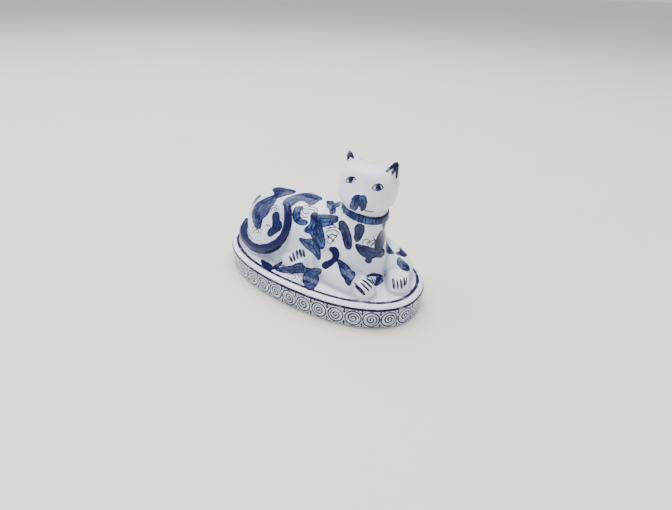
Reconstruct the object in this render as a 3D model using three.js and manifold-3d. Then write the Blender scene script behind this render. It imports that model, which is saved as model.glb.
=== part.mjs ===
import * as THREE from 'three';
import Module from 'manifold-3d';

const wasm = await Module();
wasm.setup();

// Porcelain cat lying on an oval plinth, its head turned over its right side.
// Millimetres, +Z up, the foot of the plinth on z = 0, rump towards -X, chest towards +X.

// Overall sizes
const plinthLength = 190;
const plinthWidth = 106;
const plinthHeight = 23;
const catHeight = 101;          // plinth top to ear tips
const ovalPower = 2.27;         // 2 would be a true ellipse, more is fuller at the corners

// Clay thicknesses and clearances
const wall = 4.5;               // wall of the hollow casting
const plinthWall = 6;
const slab = 5;                 // thickness of the plinth's top
const rimRadius = 5;
const footWidth = 5;            // flat ring the piece stands on
const footStep = 1.2;           // how far the foot is set in from the wall
const seam = 0.3;               // gap left between neighbouring pieces

// Sizes of the modelled parts
const headWidth = 43;
const earHeight = 13;
const collarHeight = 6;
const collarRelief = 1.3;
const tailWidth = 11;           // at its thickest
const pawWidth = 17;

// Everything on the plinth follows its length, width and height
const lengthUnit = plinthLength / 190;
const widthUnit = plinthWidth / 106;
const heightUnit = catHeight / 101;
const at = (x, y, z) => new THREE.Vector3(
  x * lengthUnit, y * widthUnit, plinthHeight + (z - 23) * heightUnit);
const radii = (x, y, z) => new THREE.Vector3(x * lengthUnit, y * widthUnit, z * heightUnit);

// A lump of clay: an ellipsoid, squared off when power is over 2
function lump(center, size, { turn = 0, lean = 0, power = 2 } = {}) {
  const pose = new THREE.Quaternion().setFromEuler(
    new THREE.Euler(THREE.MathUtils.degToRad(lean), 0, THREE.MathUtils.degToRad(turn), 'ZYX'));
  return { center, size, power, unturn: pose.invert() };
}

function distanceToLump({ center, size, power, unturn }, point) {
  const q = point.clone().sub(center).applyQuaternion(unturn).divide(size);
  const [x, y, z] = [Math.abs(q.x), Math.abs(q.y), Math.abs(q.z)];
  const k = (x ** power + y ** power + z ** power) ** (1 / power);
  if (k < 1e-6) return -Math.min(size.x, size.y, size.z);
  const slope = Math.hypot(x ** (power - 1) / size.x, y ** (power - 1) / size.y,
    z ** (power - 1) / size.z) / k ** (power - 1);
  return (k - 1) / slope;
}

// Lumps pressed together, the joints smoothed over a width `soft`
function distanceToClay(lumps, soft, point) {
  let nearest = Infinity;
  for (const one of lumps) {
    const far = distanceToLump(one, point);
    if (nearest === Infinity) { nearest = far; continue; }
    const blend = Math.max(soft - Math.abs(nearest - far), 0) / soft;
    nearest = Math.min(nearest, far) - blend * blend * soft / 4;
  }
  return nearest;
}

// Closed skin over the clay, found by looking outwards from a line inside it
function skin({ lumps, soft = 10, spine, rings = 20, sides = 24 }, grow = 0) {
  const line = new THREE.CatmullRomCurve3(spine, false, 'centripetal');
  const beyond = (from, direction, far) => distanceToClay(lumps, soft,
    from.clone().addScaledVector(direction, far)) - grow;
  const reach = (from, direction) => {
    let near = 0;
    let far = 0.5;
    for (let gap = beyond(from, direction, far); gap < 0; gap = beyond(from, direction, far)) {
      near = far;
      far += Math.max(-0.7 * gap, 0.25);
    }
    for (let step = 0; step < 14; step++) {
      const middle = (near + far) / 2;
      if (beyond(from, direction, middle) < 0) near = middle; else far = middle;
    }
    return from.clone().addScaledVector(direction, near);
  };
  const sideways = new THREE.Vector3(0, 1, 0);
  if (Math.abs(line.getTangent(0).y) > 0.9) sideways.set(0, 0, 1);
  const positions = [];
  const poleStart = reach(line.getPoint(0), line.getTangent(0).negate());
  const poleEnd = reach(line.getPoint(1), line.getTangent(1));
  positions.push(...poleStart.toArray());
  const capRings = Math.round(rings * 0.32);
  for (let ring = 1; ring < rings; ring++) {
    const startCap = ring <= capRings;
    const endCap = ring >= rings - capRings;
    const along = startCap ? 0 : endCap ? 1 : (ring - capRings) / (rings - 2 * capRings);
    const open = startCap ? ring / capRings : endCap ? (rings - ring) / capRings : 1;
    const tilt = (startCap ? -1 : 1) * Math.cos(open * Math.PI / 2);
    const tangent = line.getTangentAt(along);
    const right = tangent.clone().cross(sideways).normalize();
    const up = right.clone().cross(tangent).normalize();
    for (let side = 0; side < sides; side++) {
      const angle = 2 * Math.PI * side / sides;
      const flat = Math.sqrt(1 - tilt * tilt);
      const direction = tangent.clone().multiplyScalar(open === 1 ? 0 : tilt)
        .addScaledVector(right, (open === 1 ? 1 : flat) * Math.cos(angle))
        .addScaledVector(up, (open === 1 ? 1 : flat) * Math.sin(angle)).normalize();
      positions.push(...reach(line.getPointAt(along), direction).toArray());
    }
  }
  positions.push(...poleEnd.toArray());
  const last = 1 + (rings - 1) * sides;
  const index = [];
  for (let side = 0; side < sides; side++) {
    const next = (side + 1) % sides;
    index.push(0, 1 + side, 1 + next);
    index.push(last, last - sides + next, last - sides + side);
    for (let ring = 0; ring < rings - 2; ring++) {
      const a = 1 + ring * sides + side;
      const b = 1 + ring * sides + next;
      index.push(a, a + sides, b, b, a + sides, b + sides);
    }
  }
  const geometry = new THREE.BufferGeometry();
  geometry.setAttribute('position', new THREE.Float32BufferAttribute(positions, 3));
  geometry.setIndex(index);
  return solid(geometry);
}

// three.js geometry to manifold, and back
function solid(geometry) {
  const source = geometry.getAttribute('position');
  const seen = new Map();
  const points = [];
  const remap = [];
  for (let i = 0; i < source.count; i++) {
    const key = [source.getX(i), source.getY(i), source.getZ(i)].map((v) => Math.round(v * 1e4)).join();
    if (!seen.has(key)) {
      seen.set(key, points.length / 3);
      points.push(source.getX(i), source.getY(i), source.getZ(i));
    }
    remap.push(seen.get(key));
  }
  const order = geometry.index ? Array.from(geometry.index.array) : remap.map((_, i) => i);
  const faces = [];
  for (let i = 0; i < order.length; i += 3) {
    const [a, b, c] = [remap[order[i]], remap[order[i + 1]], remap[order[i + 2]]];
    if (a !== b && b !== c && c !== a) faces.push(a, b, c);
  }
  const made = new wasm.Manifold(new wasm.Mesh({
    numProp: 3, vertProperties: Float32Array.from(points), triVerts: Uint32Array.from(faces),
  }));
  return made;
}

function biggestBody(shape) {
  return shape.decompose().sort((a, b) => b.volume() - a.volume())[0];
}

function place(group, name, shape, look) {
  const { vertProperties, triVerts, numProp } = biggestBody(shape).getMesh();
  const geometry = new THREE.BufferGeometry();
  const points = [];
  for (let i = 0; i < vertProperties.length; i += numProp) {
    points.push(vertProperties[i], vertProperties[i + 1], vertProperties[i + 2]);
  }
  geometry.setAttribute('position', new THREE.Float32BufferAttribute(points, 3));
  geometry.setIndex(Array.from(triVerts));
  geometry.computeVertexNormals();
  const mesh = new THREE.Mesh(geometry, new THREE.MeshStandardMaterial(look));
  mesh.name = name;
  group.add(mesh);
}

// Oval outline of the plinth, moved in by `inset`
function oval(inset, points = 72) {
  const shape = new THREE.Shape();
  for (let i = 0; i < points; i++) {
    const angle = 2 * Math.PI * i / points;
    const round = (value) => Math.sign(value) * Math.abs(value) ** (2 / ovalPower);
    const x = (plinthLength / 2 - inset) * round(Math.cos(angle));
    const y = (plinthWidth / 2 - inset) * round(Math.sin(angle));
    if (i === 0) shape.moveTo(x, y); else shape.lineTo(x, y);
  }
  return shape;
}

// Stack of ovals joined into one closed solid, from [inset, height] pairs, bottom first
function ovalStack(levels, points = 72) {
  const positions = [];
  for (const [inset, height] of levels) {
    for (const p of oval(inset, points).getPoints().slice(0, points)) positions.push(p.x, p.y, height);
  }
  const index = [];
  const top = (levels.length - 1) * points;
  for (let i = 0; i < points; i++) {
    const next = (i + 1) % points;
    if (i > 1) index.push(0, i, i - 1, top, top + i - 1, top + i);
    for (let level = 0; level < levels.length - 1; level++) {
      const a = level * points + i;
      const b = level * points + next;
      index.push(a, b, a + points, b, b + points, a + points);
    }
  }
  const geometry = new THREE.BufferGeometry();
  geometry.setAttribute('position', new THREE.Float32BufferAttribute(positions, 3));
  geometry.setIndex(index);
  return solid(geometry);
}

// Plinth: straight wall, rounded rim, flat top, open underneath with a foot ring
const rimArc = [0, 18, 36, 54, 72, 90].map((degrees) => {
  const angle = THREE.MathUtils.degToRad(degrees);
  return [rimRadius * (1 - Math.cos(angle)), plinthHeight - rimRadius * (1 - Math.sin(angle))];
});
const plinthOutside = ovalStack([[footStep + 0.8, 0], [footStep, 0.8], [footStep, 2], [0, 3.2], ...rimArc]);
const recessTop = plinthHeight - slab;
const plinthInside = ovalStack([
  [footStep + footWidth, -1], [footStep + footWidth, 1.5], [plinthWall + 1.5, 4],
  [plinthWall + 1.5, recessTop - 3], [plinthWall + 4.5, recessTop],
]);

// The cat's forms
const forms = {
  body: {
    lumps: [
      lump(at(-35, 0, 43), radii(43, 31, 36)),
      lump(at(4, 2, 42), radii(42, 28, 35.5)),
      lump(at(31, 1, 54), radii(22, 20, 25)),
      lump(at(38, 1, 42), radii(19, 22, 30)),
      lump(at(40, 0, 78), radii(17.5, 17, 16)),
      lump(at(-10, 0, 25), radii(68, 33, 12), { power: 2.4 }),
    ],
    soft: 12 * lengthUnit,
    spine: [at(-40, 0, 40), at(-14, 1, 40), at(10, 1, 45), at(26, 1, 55), at(36, 0, 67), at(40, 0, 79)],
    rings: 38, sides: 36,
  },
  head: {
    lumps: [
      lump(at(41, 0, 101), radii(headWidth / 2, 17.5, 17.5), { lean: -12, power: 3 }),
      lump(at(41, -9, 95), radii(13, 11.5, 9)),
    ],
    soft: 8, spine: [at(41, 0, 97), at(41, 1, 105)], rings: 22, sides: 32,
  },
  rightHaunch: {
    lumps: [lump(at(-38, -16, 42), radii(28, 19.5, 28), { turn: -3 })],
    spine: [at(-45, -16, 42), at(-31, -16, 42)], rings: 18, sides: 26,
  },
  leftHaunch: {
    lumps: [lump(at(-38, 16, 41), radii(28, 19.5, 27), { turn: 3 })],
    spine: [at(-45, 16, 41), at(-31, 16, 41)], rings: 18, sides: 26,
  },
  rightForeleg: {
    lumps: [
      lump(at(22, -17, 36), radii(17, 12, 17)),
      lump(at(36, -25, 29), radii(22, 9.5, 10), { turn: -8 }),
    ],
    spine: [at(20, -18, 33), at(34, -23, 30), at(46, -26, 28)], rings: 20, sides: 22,
  },
  leftForeleg: {
    lumps: [
      lump(at(48, 20, 34), radii(18, 13, 15), { turn: -10 }),
      lump(at(68, 14, 31), radii(14, 12, 11), { turn: -50 }),
    ],
    spine: [at(44, 20, 33), at(60, 18, 32), at(70, 10, 31)], rings: 22, sides: 24,
  },
  rightForepaw: {
    lumps: [lump(at(53.5, -25.5, 28.5), radii(12.5, pawWidth / 2, 8), { turn: -16, power: 2.3 })],
    spine: [at(49.5, -24.5, 28.5), at(57.5, -26.5, 28.5)], rings: 16, sides: 20,
  },
  leftForepaw: {
    lumps: [lump(at(75.5, -2, 28.5), radii(12.5, pawWidth / 2, 8), { turn: -60, power: 2.3 })],
    spine: [at(74.5, 1, 28.5), at(76.5, -5, 28.5)], rings: 16, sides: 20,
  },
  rightHindPaw: {
    lumps: [lump(at(-8, -28.5, 29.5), radii(14, pawWidth / 2, 8.5), { turn: -6, power: 2.3 })],
    spine: [at(-12, -28.5, 29), at(-4, -28.5, 29)], rings: 16, sides: 20,
  },
  leftHindPaw: {
    lumps: [lump(at(-8, 28.5, 29.5), radii(14, pawWidth / 2, 8.5), { turn: 6, power: 2.3 })],
    spine: [at(-12, 28.5, 29), at(-4, 28.5, 29)], rings: 16, sides: 20,
  },
};

// Ears: leaned out a little, their tips bent forward
const earTop = catHeight + plinthHeight;
function ear(side) {
  const x = (dx) => at(41, 0, 0).x + side * dx * headWidth / 43;
  const point = (dx, y, down) => new THREE.Vector3(x(dx), y * widthUnit, earTop - down);
  const low = earHeight + 3;
  return {
    lumps: [
      lump(point(12, 3, low), radii(9, 5.5, 6)),
      lump(point(14.2, 3, low - 5.5), radii(7, 4, 5.2)),
      lump(point(17.2, 2.6, 5.5), radii(3.6, 2.5, 4)),
      lump(point(19.3, 2.2, 2.4), radii(1.2, 1.2, 2.4)),
    ],
    soft: 4, spine: [point(13.5, 3, low - 1), point(16.6, 2.9, low - 7), point(19.1, 2.3, 3.2)],
    rings: 18, sides: 16,
  };
}

// Tail: from the back of the rump, along the plinth and up over the haunch
const tailPath = [
  [-84.5, -5, 33, 0.55], [-80, -15, 30.5, 0.72], [-72, -22, 29, 0.86], [-62, -27, 28.8, 0.95],
  [-50.5, -31, 30, 1], [-39, -33.2, 33.5, 0.98], [-30, -33.4, 38.3, 0.9], [-24, -31.8, 43.6, 0.8],
  [-20, -29.4, 49.5, 0.71], [-18, -27.2, 55.5, 0.65], [-18, -24.8, 61.3, 0.62],
  [-19.8, -22, 66.6, 0.59], [-22.4, -19.2, 70.6, 0.54], [-24.2, -17.8, 72.6, 0.48],
];
function tailCoil(grow = 0, rings = 46, sides = 16, capRings = 4) {
  const line = new THREE.CatmullRomCurve3(tailPath.map(([x, y, z]) => at(x, y, z)));
  const frames = line.computeFrenetFrames(rings, false);
  const thickness = new THREE.CatmullRomCurve3(
    tailPath.map(([, , , thick], i) => new THREE.Vector3(i, thick * tailWidth / 2, 0)));
  const positions = [];
  const addRing = (i, radius, push) => {
    const center = line.getPoint(i / rings).addScaledVector(frames.tangents[i], push);
    for (let side = 0; side < sides; side++) {
      const angle = 2 * Math.PI * side / sides;
      positions.push(...center.clone().addScaledVector(frames.normals[i], radius * Math.cos(angle))
        .addScaledVector(frames.binormals[i], radius * Math.sin(angle)).toArray());
    }
  };
  const radiusAt = (i) => thickness.getPoint(i / rings).y + grow;
  for (let cap = 1; cap < capRings; cap++) {
    const angle = Math.PI / 2 * cap / capRings;
    addRing(0, radiusAt(0) * Math.sin(angle), -radiusAt(0) * Math.cos(angle));
  }
  for (let i = 0; i <= rings; i++) addRing(i, radiusAt(i), 0);
  for (let cap = capRings - 1; cap > 0; cap--) {
    const angle = Math.PI / 2 * cap / capRings;
    addRing(rings, radiusAt(rings) * Math.sin(angle), radiusAt(rings) * Math.cos(angle));
  }
  const last = positions.length / 3 - sides;
  const tips = last + sides;
  positions.push(...line.getPoint(0).addScaledVector(frames.tangents[0], -radiusAt(0)).toArray());
  positions.push(...line.getPoint(1).addScaledVector(frames.tangents[rings], radiusAt(rings)).toArray());
  const index = [];
  for (let side = 0; side < sides; side++) {
    const next = (side + 1) % sides;
    index.push(tips, next, side, tips + 1, last + side, last + next);
    for (let a = 0; a < last; a += sides) {
      index.push(a + side, a + next, a + sides + side, a + next, a + sides + next, a + sides + side);
    }
  }
  const geometry = new THREE.BufferGeometry();
  geometry.setAttribute('position', new THREE.Float32BufferAttribute(positions, 3));
  geometry.setIndex(index);
  return solid(geometry);
}

// Everything above or below a plane through `point`, tipped down towards +X by `tilt` degrees
const wide = plinthLength * 2;
function halfSpace(point, up, tilt = 0) {
  const geometry = new THREE.BoxGeometry(wide, wide, wide);
  geometry.translate(0, 0, up ? wide / 2 : -wide / 2);
  geometry.rotateY(THREE.MathUtils.degToRad(tilt));
  geometry.translate(...point.toArray());
  return solid(geometry);
}
const above = (point, tilt) => halfSpace(point, true, tilt);
const below = (point, tilt) => halfSpace(point, false, tilt);
const raised = (point, height) => point.clone().add(new THREE.Vector3(0, 0, height));
const plinthTop = new THREE.Vector3(0, 0, plinthHeight);
const onPlinth = (shape) => shape.subtract(below(raised(plinthTop, seam)));

// Hollow of the casting: the body's, a throat through the neck, and a mouth through the plinth
const throat = {
  lumps: [lump(at(40, 0, 76), radii(12, 11.5, 22), { power: 2.4 })],
  spine: [at(40, 0, 70), at(40, 0, 82)], rings: 16, sides: 24,
};
const bodyHollow = skin(forms.body, -wall).subtract(above(at(40, 0, 78))).add(skin(throat));
const mouthInset = { x: 37, y: 31 };
const plinthMouth = ovalStack([[0, -1], [0, plinthHeight + 12]]).scale(
  [1 - 2 * mouthInset.x / plinthLength, 1 - 2 * mouthInset.y / plinthWidth, 1])
  .translate([-8 * lengthUnit, 0, 0]);

// The neck runs up into the head, and the collar fills the step under the chin
const neckTop = at(40, 0, 89);
const collarTop = at(40, 0, 86);
const collarTilt = 11;
const bodySkin = skin(forms.body);
const bodyGrown = skin(forms.body, seam);
const headGrown = skin(forms.head, seam);
const body = onPlinth(bodySkin).subtract(above(neckTop)).subtract(bodyHollow)
  .subtract(plinthMouth.subtract(below(plinthTop)));
const neckGrown = bodyGrown.subtract(above(raised(neckTop, seam)));
const ears = { left_ear: ear(-1), right_ear: ear(1) };
const head = Object.values(ears).reduce((shape, one) => shape.subtract(skin(one, seam)),
  skin(forms.head).subtract(skin(forms.head, -wall)).subtract(neckGrown));
const earRoot = skin(forms.head, -wall * 0.55);
const collar = skin(forms.body, collarRelief + seam).subtract(bodyGrown).subtract(headGrown)
  .subtract(above(collarTop, collarTilt))
  .subtract(below(raised(collarTop, -collarHeight), collarTilt));

// Haunches, legs and paws are set against the body, the tail over them
const grown = (name) => skin(forms[name], seam);
const against = (name, ...near) => near.reduce((shape, other) => shape.subtract(other),
  onPlinth(skin(forms[name])).subtract(bodyGrown));
const tailPiece = onPlinth(tailCoil()).subtract(bodyGrown).subtract(grown('rightHaunch'));
const pieces = {
  right_haunch: against('rightHaunch'),
  left_haunch: against('leftHaunch'),
  right_foreleg: against('rightForeleg', grown('rightForepaw')),
  left_foreleg: against('leftForeleg', grown('leftForepaw')),
  right_forepaw: against('rightForepaw'),
  left_forepaw: against('leftForepaw'),
  right_hind_paw: against('rightHindPaw', grown('rightHaunch'), tailCoil(seam)),
  left_hind_paw: against('leftHindPaw', grown('leftHaunch')),
};

const plinth = plinthOutside.subtract(plinthInside).subtract(plinthMouth);

// Looks
const glaze = { color: 0xe9ecf3, roughness: 0.16, metalness: 0 };
const cobalt = { color: 0x23286f, roughness: 0.18, metalness: 0 };
const washBlue = { color: 0x8b9cc4, roughness: 0.18, metalness: 0 };

const cat = new THREE.Group();
cat.name = 'ceramic_cat_figurine';
place(cat, 'plinth', plinth, glaze);
place(cat, 'body', body, glaze);
place(cat, 'head', head, glaze);
for (const [name, form] of Object.entries(ears)) place(cat, name, skin(form).subtract(earRoot), glaze);
place(cat, 'collar', collar, washBlue);
place(cat, 'tail', tailPiece, cobalt);
for (const [name, shape] of Object.entries(pieces)) place(cat, name, shape, glaze);

export default cat;
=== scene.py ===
import bpy
import math
import numpy as np
import openvdb
from mathutils import Matrix


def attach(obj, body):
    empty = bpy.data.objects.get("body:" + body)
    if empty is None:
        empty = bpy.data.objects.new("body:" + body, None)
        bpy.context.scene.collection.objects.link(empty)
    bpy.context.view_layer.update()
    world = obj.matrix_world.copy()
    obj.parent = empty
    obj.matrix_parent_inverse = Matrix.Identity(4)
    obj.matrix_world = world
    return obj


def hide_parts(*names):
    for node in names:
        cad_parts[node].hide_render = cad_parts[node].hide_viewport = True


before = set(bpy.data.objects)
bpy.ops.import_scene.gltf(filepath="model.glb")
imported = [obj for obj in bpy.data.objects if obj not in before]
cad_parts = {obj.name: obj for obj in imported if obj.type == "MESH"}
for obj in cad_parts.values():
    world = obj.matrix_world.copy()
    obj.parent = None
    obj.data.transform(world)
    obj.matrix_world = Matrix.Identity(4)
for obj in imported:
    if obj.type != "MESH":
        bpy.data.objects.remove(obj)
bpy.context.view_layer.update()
mm = 0.001


def unit(vector):
    vector = np.asarray(vector, float)
    return vector / np.linalg.norm(vector)


# right, up and towards-the-viewer directions of someone looking at the cat;
# azimuth 0 looks at its face side, 90 at its chest, 180 at its far side
def outlook(azimuth, elevation, roll=0):
    a, e, r = (math.radians(value) for value in (azimuth, elevation, roll))
    toward = np.array([math.sin(a) * math.cos(e), -math.cos(a) * math.cos(e), math.sin(e)])
    right = np.array([math.cos(a), math.sin(a), 0.0])
    up = np.cross(toward, right)
    return right * math.cos(r) + up * math.sin(r), up * math.cos(r) - right * math.sin(r), toward


def addObject(name, data):
    made = bpy.data.objects.new(name, data)
    bpy.context.scene.collection.objects.link(made)
    return made


print("camera and light")
viewing = dict(place=(165.9, -249.5, 225.3), azimuth=31.26, elevation=34.0, roll=2.14, lens=21.43)
right, up, toward = outlook(viewing["azimuth"], viewing["elevation"], viewing["roll"])
cameraData = bpy.data.cameras.new("camera")
cameraData.lens = viewing["lens"]
cameraData.clip_start, cameraData.clip_end = 0.01, 100
camera = addObject("camera", cameraData)
turning = Matrix([right, up, toward]).transposed().to_4x4()
camera.matrix_world = Matrix.Translation([value * mm for value in viewing["place"]]) @ turning
bpy.context.scene.camera = camera

# softboxes: size and place in metres, power in watts; each is turned to the cat
softboxes = {
    "overheadSoftbox": dict(place=(-0.3, 0.1, 2.0), size=2.3, watts=92, tint=(1.0, 0.99, 0.98)),
    "windowSoftbox": dict(place=(-1.7, -0.6, 1.2), size=1.2, watts=11.0, tint=(0.97, 0.985, 1.0)),
}
catMiddle = (0, 0, 0.05)
for name, box in softboxes.items():
    lightData = bpy.data.lights.new(name, "AREA")
    lightData.size, lightData.energy, lightData.color = box["size"], box["watts"], box["tint"]
    light = addObject(name, lightData)
    back = unit(np.array(box["place"]) - catMiddle)
    side = unit(np.cross([0, 0, 1] if abs(back[2]) < 0.95 else [0, 1, 0], back))
    turning = Matrix([side, np.cross(back, side), back]).transposed().to_4x4()
    light.matrix_world = Matrix.Translation(box["place"]) @ turning
roomLight = dict(tint=(0.95, 0.95, 0.95, 1), strength=0.76)
world = bpy.data.worlds.new("paleRoom")
world.use_nodes = True
world.node_tree.nodes["Background"].inputs["Color"].default_value = roomLight["tint"]
world.node_tree.nodes["Background"].inputs["Strength"].default_value = roomLight["strength"]
bpy.context.scene.world = world


# A value in a node tree: sums done with it become Math nodes of that tree
class Value:
    def __init__(self, tree, socket):
        self.tree, self.socket = tree, socket

    def __add__(self, other):
        return maths("ADD", self, other)

    def __sub__(self, other):
        return maths("SUBTRACT", self, other)

    def __rsub__(self, other):
        return maths("SUBTRACT", other, self)

    def __mul__(self, other):
        return maths("MULTIPLY", self, other)

    def __truediv__(self, other):
        return maths("DIVIDE", self, other)

    def __rtruediv__(self, other):
        return maths("DIVIDE", other, self)

    def __abs__(self):
        return maths("ABSOLUTE", self)


def feed(tree, value, socket):
    if isinstance(value, Value):
        value = value.socket
    if isinstance(value, bpy.types.NodeSocket):
        tree.links.new(value, socket)
    elif value is not None:
        socket.default_value = value


# a new node with its settings, and its inputs fed by name with _ for each space
def addNode(tree, kind, settings=None, **values):
    node = tree.nodes.new(kind)
    for label, value in (settings or {}).items():
        setattr(node, label, value)
    for label, value in values.items():
        feed(tree, value, node.inputs[label.replace("_", " ")])
    return node


def maths(operation, first, second=None, clamp=False):
    tree = (first if isinstance(first, Value) else second).tree
    node = addNode(tree, "ShaderNodeMath", dict(operation=operation, use_clamp=clamp))
    feed(tree, first, node.inputs[0])
    feed(tree, second, node.inputs[1])
    return Value(tree, node.outputs[0])


def least(first, *others):
    for other in others:
        first = maths("MINIMUM", first, other)
    return first


def most(first, second):
    return maths("MAXIMUM", first, second)


def vectorMaths(operation, first, second=None, scale=None):
    node = addNode(first.tree, "ShaderNodeVectorMath", dict(operation=operation))
    for value, number in ((first, 0), (second, 1), (scale, 3)):
        feed(first.tree, value, node.inputs[number])
    return Value(first.tree, node.outputs[0])


# `toLow` below `low`, `toHigh` above `high`, eased in between
def ramp(value, low, high, toLow=0.0, toHigh=1.0):
    node = addNode(value.tree, "ShaderNodeMapRange", dict(interpolation_type="SMOOTHSTEP"), Value=value,
                   From_Min=low, From_Max=high, To_Min=toLow, To_Max=toHigh)
    return Value(value.tree, node.outputs["Result"])


def noise(vector, scale, detail=2.0, roughness=0.5):
    node = addNode(vector.tree, "ShaderNodeTexNoise", Vector=vector, Scale=scale, Detail=detail,
                   Roughness=roughness)
    return Value(vector.tree, node.outputs["Fac"])


def blend(amount, first, second):
    node = addNode(amount.tree, "ShaderNodeMix", dict(data_type="RGBA"), Factor=amount, A=first, B=second)
    return Value(amount.tree, node.outputs["Result"])


def colour(red, green, blue):
    def linear(value):
        value /= 255
        return value / 12.92 if value <= 0.04045 else ((value + 0.055) / 1.055) ** 2.4
    return (linear(red), linear(green), linear(blue), 1.0)


# a shader node group with the named inputs and outputs, filled in by `fill(inputs)`,
# which returns what goes to each output
def nodeGroup(name, inputs, outputs, fill):
    tree = bpy.data.node_groups.new(name, "ShaderNodeTree")
    kinds = {"float": "NodeSocketFloat", "colour": "NodeSocketColor", "vector": "NodeSocketVector"}
    for label, (kind, value) in inputs.items():
        socket = tree.interface.new_socket(label, in_out="INPUT", socket_type=kinds[kind])
        if value is not None:
            socket.default_value = value
    for label, kind in outputs.items():
        tree.interface.new_socket(label, in_out="OUTPUT", socket_type=kinds[kind])
    entry = tree.nodes.new("NodeGroupInput")
    leave = tree.nodes.new("NodeGroupOutput")
    given = {label: Value(tree, entry.outputs[label]) for label in inputs}
    for label, value in fill(given).items():
        feed(tree, value, leave.inputs[label])
    return tree


def useGroup(tree, group, **values):
    node = addNode(tree, "ShaderNodeGroup", dict(node_tree=group), **values)
    return {socket.name: Value(tree, socket) for socket in node.outputs}


# White body under a clear glaze: faint clouding, a blue-grey tint where the glaze has
# run thick into the creases, darkened there as painted crease shade too, and a few pinhole specks
def fillPorcelain(given):
    where = given["Vector"]
    clouds = noise(where, 38.0, 3.0, 0.55)
    drift = noise(where, 9.0)
    base = blend(ramp(clouds, 0.35, 0.7), given["White"], given["Cool"])
    base = blend(ramp(drift, 0.45, 0.75) * 0.5, base, given["Warm"])
    # pooled glaze and painted shade: bluer and darker the deeper into a crease
    thick = given["Pooling"] * ramp(clouds, 0.2, 0.8, 0.7, 1.1)
    base = blend(ramp(thick, 0.05, 1.6, 0.0, 0.75), base, given["PooledAndShaded"])
    pinholes = addNode(where.tree, "ShaderNodeTexVoronoi", Vector=where, Scale=130.0)
    speck = ramp(Value(where.tree, pinholes.outputs["Distance"]), 0.03, 0.055, 1.0, 0.0)
    speck = speck * ramp(noise(where, 61.0, 0.0), 0.62, 0.66)
    return {"Color": blend(speck * 0.55, base, given["Speck"])}


# the pooled colour is both the glaze's own tint in creases and painted shade there
porcelain = nodeGroup("whitePorcelain", {
    "Vector": ("vector", None), "Pooling": ("float", 0.0),
    "White": ("colour", colour(232, 238, 250)), "Cool": ("colour", colour(212, 222, 242)),
    "Warm": ("colour", colour(238, 234, 230)), "PooledAndShaded": ("colour", colour(146, 158, 182)),
    "Speck": ("colour", colour(120, 118, 122)),
}, {"Color": "colour"}, fillPorcelain)


# Blue brushwork over the white. Line and Wash are millimetres inside a line or a filled
# area; Tone runs from greenish blue through cobalt to violet
def fillBrushwork(given):
    where, tone = given["Vector"], given["Tone"]
    shake = (noise(where, 900.0, 2.0, 0.6) - 0.5) * 0.45 + (noise(where, 260.0) - 0.5) * 0.5
    wash = given["Wash"] + shake * 1.2
    lineMask = ramp(given["Line"] + shake, -0.16, 0.14)
    washMask = ramp(wash, -0.22, 0.12)
    streaks = noise(vectorMaths("MULTIPLY", where, (1.0, 0.55, 0.35)), 520.0, 3.0, 0.65)
    cloud = noise(where, 170.0)
    load = streaks * 0.55 + cloud * 0.45
    deep = blend(ramp(tone, 0.15, 0.6), given["Teal"], given["Cobalt"])
    deep = blend(ramp(tone, 0.75, 1.0), deep, given["Violet"])
    pale = blend(ramp(tone, 0.2, 0.9), given["Pale"], given["Teal"])
    rim = ramp(wash, 0.1, 1.2, 0.35, 0.0)
    strength = maths("ADD", ramp(load, 0.38, 0.58), rim, clamp=True)
    strength = most(strength, ramp(tone, 0.5, 0.9))
    result = blend(washMask, given["Ground"], blend(strength, pale, deep))
    result = blend(lineMask * ramp(cloud, 0.25, 0.5, 0.82, 1.0), result, given["Navy"])
    return {"Color": result, "Pigment": most(lineMask, washMask)}


brushwork = nodeGroup("blueBrushwork", {
    "Vector": ("vector", None), "Line": ("float", -5.0), "Wash": ("float", -5.0),
    "Tone": ("float", 0.0), "Ground": ("colour", None),
    "Navy": ("colour", colour(4, 5, 54)), "Cobalt": ("colour", colour(9, 9, 66)),
    "Teal": ("colour", colour(16, 33, 84)), "Pale": ("colour", colour(68, 96, 148)),
    "Violet": ("colour", colour(26, 10, 84)),
}, {"Color": "colour", "Pigment": "float"}, fillBrushwork)


# Glaze skin: a slow swell and a fine orange peel as a height, and how rough the shine is
def fillGlaze(given):
    where = given["Vector"]
    swell, peel = noise(where, 70.0), noise(where, 420.0, 2.0, 0.55)
    smear = noise(where, 55.0, 3.0, 0.6)
    return {"Height": swell * 0.9 + peel * 0.10,
            "Roughness": ramp(smear, 0.3, 0.75, 0.10, 0.20) + given["Pigment"] * 0.05}


glazeSkin = nodeGroup("glazeSkin", {"Vector": ("vector", None), "Pigment": ("float", 0.0)},
                      {"Height": "float", "Roughness": "float"}, fillGlaze)


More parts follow.
